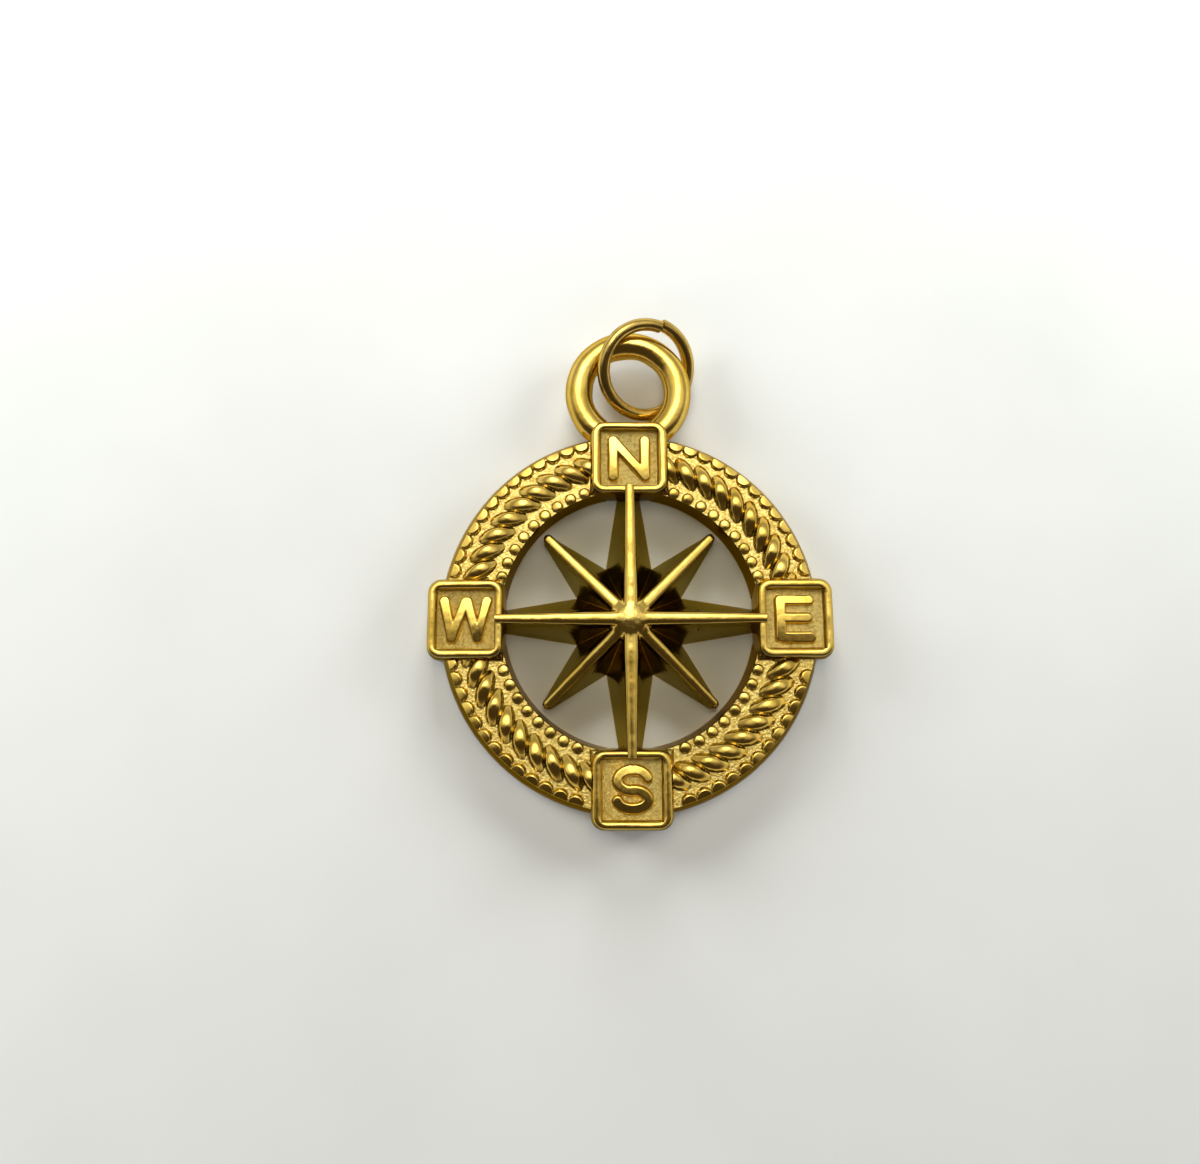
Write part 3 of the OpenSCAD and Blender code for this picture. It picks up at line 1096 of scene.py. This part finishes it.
@dataclass
class RoseArm:
    """One arm of the compass rose, from the hub to its end, with its round ridge."""

    bearing: float
    spread: float
    reach: float
    foot: float
    ridge_root: float
    end_height: float
    rounded: bool
    ridge_end: float = 0.35
    ridge_height: float = 3.36
    ridge_rise: float = 0.68
    ridge_power: float = 2.6
    ridge_wander: float = 0.04
    notch: float = 4.38
    tip: tuple = (1.6, 0.4)
    rod_cover: float = 1.05
    rod_points: int = 22
    flank_points: int = 5
    flank_places: tuple = (0.0, 0.3, 0.65, 0.93, 0.975, 1.0)
    stations: int = 96
    inner_stations: int = 43

    @property
    def notch_y(self) -> float:
        """Distance of the notch beside the arm, along it."""
        return self.notch * math.cos(math.radians(self.spread))

    def radius(self, y: Points) -> Points:
        """Radii of the ridge at distances along the arm."""
        return self.ridge_root + (self.ridge_end - self.ridge_root) * np.clip(y / self.reach, 0.0, 1.0)

    def axis_height(self, y: Points) -> Points:
        """Heights of the ridge line at distances along the arm."""
        return self.ridge_height + (self.end_height - self.ridge_height) * np.clip(y / self.reach, 0.0, 1.0)

    def half_width(self, y: Points) -> Points:
        """Half widths of the arm's foot.

        Args:
            y: Distances along the arm.

        Returns:
            Half widths at the table.
        """
        spread = math.radians(self.spread)
        notch_x = self.notch * math.sin(spread)
        end = self.reach - (self.foot if self.rounded else 0.0)
        tapered = notch_x + (self.foot - notch_x) * (y - self.notch_y) / (end - self.notch_y)
        width = np.where(y < self.notch_y, y * math.tan(spread), tapered)
        if self.rounded:
            width = np.where(y > end, self.foot * dome((y - end) / self.foot), width)
        return np.maximum(width, 0.0)

    def ridge(self, x: Points, y: Points) -> Points:
        """Top of the round ridge.

        Args:
            x: Distances to the side of the arm.
            y: Distances along it.

        Returns:
            Heights, below the table beside the ridge.
        """
        wander = ripple(y + self.bearing, x * 0.0, 2.2, int(self.bearing) + 5)
        radius = self.radius(y) * (1.0 + self.ridge_wander * wander)
        past = np.maximum(y - (self.reach - radius * 0.9), 0.0) if self.rounded else 0.0
        off = np.hypot(np.hypot(x, past) / radius, np.clip(-y / radius, 0.0, 2.0))
        height = self.axis_height(y) + radius * self.ridge_rise * dome(off, self.ridge_power)
        return np.where(off < 1.0, height, -1.0)

    def sheet(self) -> tuple[Piece, Points, Points, Points]:
        """Adds the arm's flat grid, closest on its ridge.

        Returns:
            The piece, its places across and along the arm, and the half widths there.
        """
        columns = self.rod_points + 2 * self.flank_points
        piece, u, v = Bench.sheet(f"arm_{int(self.bearing)}", columns, self.stations)
        place, station = np.round(u * columns) - columns / 2.0, np.round(v * self.stations)
        ease = np.clip((station - self.inner_stations) / (self.stations - self.inner_stations), 0.0, 1.0)
        ease = np.sin(ease * math.pi / 2.0) if self.rounded else ease
        inner = self.notch_y * (station / self.inner_stations)
        outer = self.notch_y + (self.reach - self.notch_y) * ease
        y = np.where(station <= self.inner_stations, inner, outer)
        width = self.half_width(y)
        half_rod = self.rod_points / 2.0
        rod = self.radius(y) * self.rod_cover / np.maximum(width, TINY)
        rod = np.minimum(rod, half_rod / (half_rod + self.flank_points))
        steps = np.abs(place)
        beside = np.interp(steps - half_rod, range(self.flank_points + 1), self.flank_places)
        share = np.where(steps <= half_rod, rod * steps / half_rod, rod + (1.0 - rod) * beside)
        return piece, np.sign(place) * width * share, y, width

    def flank(self, out: Points, y: Points, valley: Points) -> Points:
        """Heights of the flat flanks.

        Args:
            out: Places across as a share of the half width.
            y: Places along the arm.
            valley: Heights of the valley beside the arm, negative past the notch.

        Returns:
            The heights.
        """
        axis = self.axis_height(y)
        flank = np.where(valley >= 0.0, valley + (axis - valley) * (1.0 - out), axis * (1.0 - out))
        if self.rounded:
            core = self.ridge_end * 0.5 / self.foot
            wall = 1.0 - np.clip((out - core) / (1.0 - core), 0.0, 1.0)
            flank = flank + (axis * wall - flank) * smooth_step(*(self.reach - end for end in self.tip), y)
        return flank


@dataclass
class CompassRose(Assembly):
    """Eight-armed rose with steep flanks, round ridges and a soft hub."""

    main: tuple = (23.8, 10.0, 0.8, 0.58, 3.36, False)
    diagonal: tuple = (21.2, 9.06, 0.47, 0.5, 1.5, True)
    ridge_fillet: float = 0.22
    meeting: tuple = (-0.3, 2.6)
    hub_radius: float = 1.2
    hub_top: float = 3.92
    hub_fall: tuple = (0.34, 0.5)
    hub_shoulder: float = 0.8
    hub_end: float = 1.4
    hub_ripple: float = 0.012
    hub_fillet: float = 0.18
    flank_fillet: float = 0.03
    # Painted shade on the flanks: deeper within the valleys round the hub, also at the rods' feet, fading out
    # at the arms' edges.
    deep_shade: float = 0.7
    deep_shade_edges: tuple = (0.9, -1.8)
    bare_edges: tuple = (0.05, -0.05)
    rod_edges: tuple = (0.66, 0.92)
    rod_shade_edges: tuple = (1.3, 2.2)
    rim_edges: tuple = (1.0, 0.97)
    hub_dull: float = 0.4
    dull_edges: tuple = (1.4, 0.4)

    def top(self, arm: RoseArm, arms: list[RoseArm], east: Points, north: Points) -> Points:
        """Ridges and hub over one arm, with soft fillets where they meet.

        Args:
            arm: The arm.
            arms: All arms, which meet this one at the hub.
            east: Places to the east.
            north: Places to the north.

        Returns:
            The heights, below the table beside the ridges.
        """
        top = np.full_like(east, -2.0)
        for other in arms:
            x, y = turned(east, north, -other.bearing)
            near = (y > self.meeting[0]) & ((y < self.meeting[1]) | (other is arm))
            top = soft_max(top, np.where(near, other.ridge(x, y), -1.0), self.ridge_fillet)
        hub = np.hypot(east, north) / self.hub_radius
        shoulder = np.maximum(hub - self.hub_shoulder, 0.0)
        height = self.hub_top - self.hub_fall[0] * hub**2 - self.hub_fall[1] * shoulder**2
        height = height + self.hub_ripple * ripple(east, north, 0.5, 8)
        return soft_max(top, np.where(hub < self.hub_end, height, -2.0), self.hub_fillet)

    def build_arm(self, arm: RoseArm, arms: list[RoseArm]) -> Piece:
        """Shapes one arm.

        Args:
            arm: The arm to shape.
            arms: All arms, which meet this one at the hub.

        Returns:
            The arm's piece, open towards its neighbours.
        """
        piece, x, y, width = arm.sheet()
        east, north = turned(x, y, arm.bearing)
        out = np.abs(x) / np.maximum(width, TINY)
        valley = arm.ridge_height * (1.0 - y / arm.notch_y)
        flank = arm.flank(out, y, valley)
        flank = np.where(width < 10.0 * TINY, np.where(y < 1.0, arm.ridge_height, 0.0), flank)
        top = self.top(arm, arms, east, north)
        z = np.where(top > 0.0, soft_max(flank, top, self.flank_fillet), flank)
        edge = np.abs(x) >= width - TINY
        z = np.where(edge & (valley < 0.0), 0.0, z)
        z = np.where(edge & (valley > -TINY) & (top < flank), valley * (valley >= 0.0), z)
        Bench.shape(piece, east, north, np.maximum(z, 0.0))
        centre = np.hypot(east, north)
        # Painted shade on the flanks, deeper inside the notch radius and at the rods' feet, fading out at the
        # arm's edge.
        deep_shade = 1.0 + self.deep_shade * smooth_step(*(arm.notch + edge for edge in self.deep_shade_edges), centre)
        rod_foot_shade = smooth_step(*self.rod_edges, np.abs(x) / (arm.radius(y) * arm.rod_cover))
        rod_foot_shade = rod_foot_shade * smooth_step(*self.rod_shade_edges, centre)
        beside = np.maximum(smooth_step(*self.bare_edges, top - flank) * deep_shade, rod_foot_shade)
        polish = 1.0 - self.hub_dull * smooth_step(*self.dull_edges, centre)
        Bench.mark(piece, polish=polish, score=0.0, patina=beside * smooth_step(*self.rim_edges, out))
        return piece

    def build(self) -> Piece:
        """Builds the rose as one closed casting.

        Returns:
            The finished piece.
        """
        arms = [RoseArm(i * EIGHTH, *(self.diagonal if i % 2 else self.main)) for i in range(8)]
        Bench.hold(*(self.build_arm(arm, arms) for arm in arms))
        bpy.ops.object.join()
        rose = Bench.take("compass_rose")
        Bench.close(rose, 50.0, fill=False)
        return rose


@dataclass
class Bail(Assembly):
    """Thick round loop behind the N plate, its two limbs running into the casting."""

    centre_y: float = 17.53
    height: float = 2.14
    circle: float = 3.9
    bar: float = 1.01
    open_half: float = 36.0
    inward: float = 1.14
    lump: float = 0.032
    lump_size: float = 3.0
    bar_points: int = 40
    turns: int = 150

    def build(self) -> Piece:
        """Builds the bail.

        Returns:
            The finished piece.
        """
        piece = Bench.circle("bail", self.bar_points, self.bar)
        section = Bench.points(piece)
        start = math.radians(self.open_half - QUARTER)
        away = self.circle + section[:, 0]
        Bench.shape(piece, away * math.cos(start), away * math.sin(start), -section[:, 1])
        Bench.spin(piece, self.turns, math.radians(360.0 - 2.0 * self.open_half))
        self.work(piece)
        Bench.mark(piece, polish=1.0, score=0.0)
        Bench.close(piece, 60.0)
        return piece

    def work(self, piece: Piece) -> None:
        """Makes the bar slightly uneven and moves it to its place.

        Args:
            piece: The bail round the origin.
        """
        x, y, z = Bench.points(piece).T
        turn = np.arctan2(y, x)
        away = np.hypot(x, y) - self.circle
        around = np.arctan2(z, away)
        swell = 1.0 - self.lump + self.lump * ripple(turn * self.circle, around * 0.7, self.lump_size, 21)
        reach = self.circle + away * swell * np.where(away < 0.0, self.inward, 1.0)
        y = reach * np.sin(turn) + self.centre_y
        Bench.shape(piece, reach * np.cos(turn), y, z * swell + self.height)


@dataclass
class JumpRing(Assembly):
    """Split ring of round wire, through the bail and tilted with its low side on the table."""

    node: ClassVar[str] = WIRE
    centre: tuple = (1.42, 19.44, 2.156)
    circle: float = 3.55
    wire: float = 0.5
    flatness: float = 2.12
    tilt: float = 27.8
    heading: float = 136.2
    cut_turn: float = -63.0
    cut: float = 0.12
    spring: float = 0.12
    spring_back: float = 0.06
    spring_reach: tuple = (-1.7, 1.2)
    wire_points: int = 28
    turns: int = 144

    def build(self) -> Piece:
        """Builds the jump ring.

        Returns:
            The finished piece.
        """
        piece = Bench.circle("split_ring", self.wire_points, self.wire)
        section = Bench.points(piece)
        angle = np.arctan2(section[:, 1], section[:, 0])
        power = self.flatness
        span = (np.abs(np.cos(angle)) ** power + np.abs(np.sin(angle)) ** power) ** (-1.0 / power)
        span = span / span.max() * self.wire
        half_cut = self.cut / 2.0 / self.circle
        start = math.radians(self.cut_turn) + half_cut
        away = self.circle + span * np.cos(angle)
        Bench.shape(piece, away * math.cos(start), away * math.sin(start), span * np.sin(angle))
        Bench.spin(piece, self.turns, math.tau - 2.0 * half_cut)
        x, y, z = Bench.points(piece).T
        turn, reach = np.arctan2(y, x), np.hypot(x, y)
        around = np.arctan2(z, reach - self.circle) * self.wire
        Bench.mark(piece, along=np.abs(turn) * self.circle, around=around)
        reach = reach + self.sprung(turn)
        lean = Euler((0.0, -math.radians(self.tilt), math.radians(self.heading))).to_matrix()
        flat = np.column_stack([reach * np.cos(turn), reach * np.sin(turn), z])
        Bench.shape(piece, flat @ np.array(lean).T + np.array(self.centre))
        Bench.close(piece, 50.0)
        return piece

    def sprung(self, turn: Points) -> Points:
        """How far the wire's ends stand off the circle at the cut.

        Args:
            turn: Angles round the ring.

        Returns:
            Distances outwards.
        """
        past = (turn - math.radians(self.cut_turn) + math.pi) % math.tau - math.pi
        out, back = (smooth_step(reach, 0.0, past) for reach in self.spring_reach)
        return np.where(past < 0.0, self.spring * out, -self.spring_back * back)


@dataclass(frozen=True)
class SoftBox:
    """One square soft light that faces the object."""

    name: str
    bearing: float
    elevation: float
    distance: float
    size: float
    power: float
    tint: tuple = (1.0, 1.0, 1.0)
    mirrored: bool = False
    lit: bool = True

    def build(self) -> None:
        """Adds the light, out of the camera's sight."""
        rise = math.radians(self.elevation)
        place = Vector((*turned(0.0, math.cos(rise), self.bearing), math.sin(rise))) * self.distance * MM
        data = bpy.data.lights.new(self.name, "AREA")
        data.shape = "SQUARE"
        data.size = self.size * MM
        data.energy = self.power
        data.color = self.tint
        made = bpy.data.objects.new(self.name, data)
        bpy.context.scene.collection.objects.link(made)
        made.location = place
        made.rotation_euler = (-place).to_track_quat("-Z", "Y").to_euler()
        made.visible_camera = False
        made.visible_glossy = self.mirrored
        made.visible_diffuse = self.lit


@dataclass(frozen=True)
class Spot:
    """One soft round spot of the surroundings, by its direction and half angles in degrees."""

    toward: tuple
    inner: float
    outer: float
    level: float

    def share(self, way: list[Value]) -> Value:
        """The spot as it is seen in a direction.

        Args:
            way: The direction's three coordinates.

        Returns:
            Its level in its middle, easing to 0 outside it.
        """
        x, y, z = Vector(self.toward).normalized()
        facing = way[0] * x + way[1] * y + way[2] * z
        edges = (math.cos(math.radians(angle)) for angle in (self.outer, self.inner))
        return facing.ramp(*edges) * self.level


COOL = (0.96, 1.0, 1.0)
WARM = (1.0, 0.84, 0.56)


@dataclass
class Studio:
    """Table, soft surroundings and the camera at the photograph's viewing angle."""

    table_radius: float = 150.0
    table_points: int = 96
    table_drop: float = 0.02
    camera_place: tuple = (-3.25, -6.55, 84.56)
    camera_turn: tuple = (11.78, -0.67, -0.23)
    lens: float = 33.0
    sensor: float = 36.0
    shift_y: float = -0.085
    sight: tuple = (0.001, 10.0)
    bright: tuple = (1.0, 1.0, 0.99, 1.0)
    dim: tuple = (1.0, 0.76, 0.50, 1.0)
    dim_levels: tuple = (0.12, 0.5)
    base: float = 0.06
    band_heights: tuple = (0.15, 0.5)
    band_level: float = 0.12
    horizon_heights: tuple = (0.14, 0.30)
    horizon_level: float = 0.5
    bright_edge: tuple = (-0.15, 0.30)
    bright_aside: float = 0.22
    bright_heights: tuple = (0.45, 0.9)
    bright_low: float = 0.36
    bright_high: float = 0.74
    bright_spot: Spot = Spot((-0.02, 0.44, 0.90), 12.0, 24.0, 2.3)
    dark_spot: Spot = Spot((-0.03, -0.10, 1.0), 3.0, 10.0, 0.7)
    boxes: tuple = (
        SoftBox("soft_box", -5.0, 64.0, 165.0, 50.0, 0.012, mirrored=True, lit=False),
        SoftBox("top_box", -10.0, 78.0, 165.0, 90.0, 0.056, WARM),
        SoftBox("far_box", 0.0, 24.0, 170.0, 70.0, 0.18, COOL),
        SoftBox("right_box", 62.0, 22.0, 170.0, 70.0, 0.15, COOL),
        SoftBox("left_box", -62.0, 22.0, 170.0, 70.0, 0.16, COOL),
        SoftBox("near_right_box", 125.0, 22.0, 170.0, 55.0, 0.05),
        SoftBox("near_left_box", -125.0, 22.0, 170.0, 55.0, 0.06),
        SoftBox("near_box", 180.0, 22.0, 170.0, 70.0, 0.03),
    )

    def table(self) -> None:
        """Adds the table."""
        piece = Bench.circle("table", self.table_points, self.table_radius, filled=True)
        Bench.shape(piece, Bench.points(piece) - (0.0, 0.0, self.table_drop))
        piece.data.materials.append(TableWhite().material())

    def surroundings(self) -> None:
        """Makes the soft room, which shows in reflections alone."""
        world = bpy.data.worlds.new("soft_room")
        bpy.context.scene.world = world
        world.use_nodes = True
        world.cycles_visibility.diffuse = False
        desk = Desk(world.node_tree)
        split = desk.node("SeparateXYZ", {}, {0: desk.places["Generated"]})
        way = [Value(desk, output) for output in split.outputs]
        x, y, z = way
        level = (1.0 - z.ramp(*self.band_heights)) * self.band_level + self.base
        level = level + (1.0 - z.ramp(*self.horizon_heights)) * self.horizon_level
        reach = (y + abs(x) * self.bright_aside).ramp(*self.bright_edge)
        level = level + reach * (self.bright_low + z.ramp(*self.bright_heights) * self.bright_high)
        level = (level + self.bright_spot.share(way)) * (1.0 - self.dark_spot.share(way))
        colour = desk.blend(level.ramp(*self.dim_levels), self.dim, self.bright)
        light = desk.node("Background", {}, {"Color": colour, "Strength": level})
        desk.node("OutputWorld", {}, {"Surface": light.outputs[0]})

    def camera(self) -> None:
        """Adds the camera."""
        data = bpy.data.cameras.new("view")
        data.lens, data.sensor_width, data.shift_y = self.lens, self.sensor, self.shift_y
        data.clip_start, data.clip_end = self.sight
        made = bpy.data.objects.new("view", data)
        bpy.context.scene.collection.objects.link(made)
        made.location = Vector(self.camera_place) * MM
        made.rotation_euler = [math.radians(angle) for angle in self.camera_turn]
        bpy.context.scene.camera = made

    def build(self) -> None:
        """Sets up the whole studio."""
        self.table()
        self.surroundings()
        for box in self.boxes:
            box.build()
        self.camera()
        bpy.context.scene.view_settings.view_transform = "Standard"


def main() -> None:
    """Builds the pendant and its studio in order."""
    logging.basicConfig(level=logging.INFO, format="%(message)s")
    Studio().build()
    cast_gold = CastGold().material()
    casting: list[Assembly] = [
        BorderQuarter(0.0, BeadRow(19.6, 9), RopeRow(1), ScallopRow(15.2, 13)),
        BorderQuarter(90.0, BeadRow(111.8, 8), RopeRow(14), ScallopRow(108.3, 12)),
        BorderQuarter(180.0, BeadRow(202.9, 8), RopeRow(26), ScallopRow(197.3, 13)),
        BorderQuarter(270.0, BeadRow(288.2, 9), RopeRow(39), ScallopRow(285.5, 13)),
        *(LetterPlate(place) for place in Compass),
        CompassRose(),
        Bail(),
    ]
    for part in casting:
        part.dress(part.build(), cast_gold)
    ring = JumpRing()
    ring.dress(ring.build(), WireGold().material())
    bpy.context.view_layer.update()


if __name__ == "__main__":
    main()
